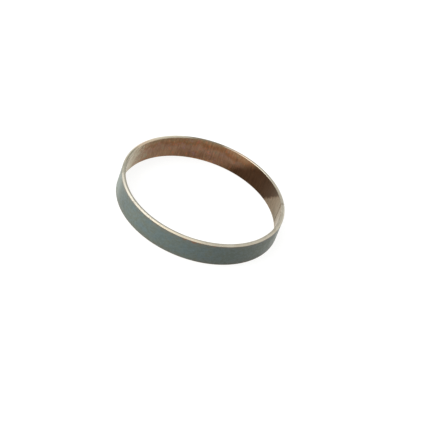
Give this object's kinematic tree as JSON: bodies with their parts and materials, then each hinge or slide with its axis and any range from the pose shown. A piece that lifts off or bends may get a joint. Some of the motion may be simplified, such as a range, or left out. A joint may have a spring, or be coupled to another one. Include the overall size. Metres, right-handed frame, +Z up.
{
  "type": "shock absorber piston ring",
  "caption": "Split piston ring rolled from a bronze-backed strip with a sliding layer outside; it guides a shock absorber piston in its cylinder.",
  "frame": {"origin": "on the ring's axis, in the plane of its lower edge, so the ring stands on z = 0", "axes": "+Z up along the ring's axis; the butt joint stands 17 degrees round from +X towards +Y"},
  "size_m": [0.05, 0.05, 0.0076],
  "materials": {
    "bonded_strip": "copper-coloured bore with fine lengthwise streaks, bright bronze at the chamfered edges, and a matt grey-green sliding layer on the outer wall"
  },
  "bodies": {
    "root": {"piston_ring": "bonded_strip"}
  },
  "joints": []
}
